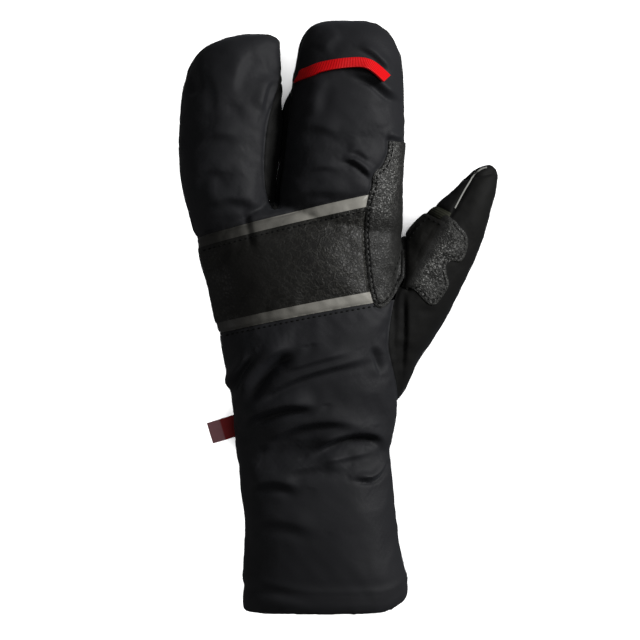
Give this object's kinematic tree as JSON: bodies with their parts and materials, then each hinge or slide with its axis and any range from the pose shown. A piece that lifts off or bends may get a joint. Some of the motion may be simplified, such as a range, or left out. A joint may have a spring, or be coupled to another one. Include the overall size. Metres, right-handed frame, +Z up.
{
  "type": "lobster claw mitt",
  "caption": "Padded left-hand winter mitt with two finger stalls, a thumb, leather palm, reflective knuckle band and long gauntlet.",
  "frame": {"origin": "middle of the mitt's footprint on the surface it lies on, palm down", "axes": "+Y from the gauntlet's hem to the fingertips, +X towards the thumb, +Z up out of the back of the hand"},
  "size_m": [0.155, 0.2874, 0.051],
  "materials": {
    "cloth": "matt woven softshell",
    "stretch_cloth": "smooth stretch softshell",
    "palm_leather": "pebbled matt leather",
    "band_leather": "pebbled matt leather",
    "reflective_tape": "grey reflective tape",
    "trim_cloth": "ribbed trim",
    "piping": "reflective piping",
    "loop_ribbon": "ribbed ribbon",
    "label_ribbon": "woven label"
  },
  "bodies": {
    "root": {"finger_back": "cloth", "fourchette": "stretch_cloth", "knuckle_band": "band_leather", "reflective_strip_upper": "reflective_tape", "reflective_strip_lower": "reflective_tape", "gauntlet_back": "cloth", "gauntlet_palm": "cloth", "cuff_hem": "cloth", "palm": "palm_leather", "thumb_outer": "stretch_cloth", "thumb_crotch": "band_leather", "thumb_trim": "trim_cloth", "thumb_inner": "stretch_cloth", "thumb_patch": "palm_leather", "thumb_piping": "piping", "pull_loop": "loop_ribbon", "side_label": "label_ribbon"}
  },
  "joints": []
}
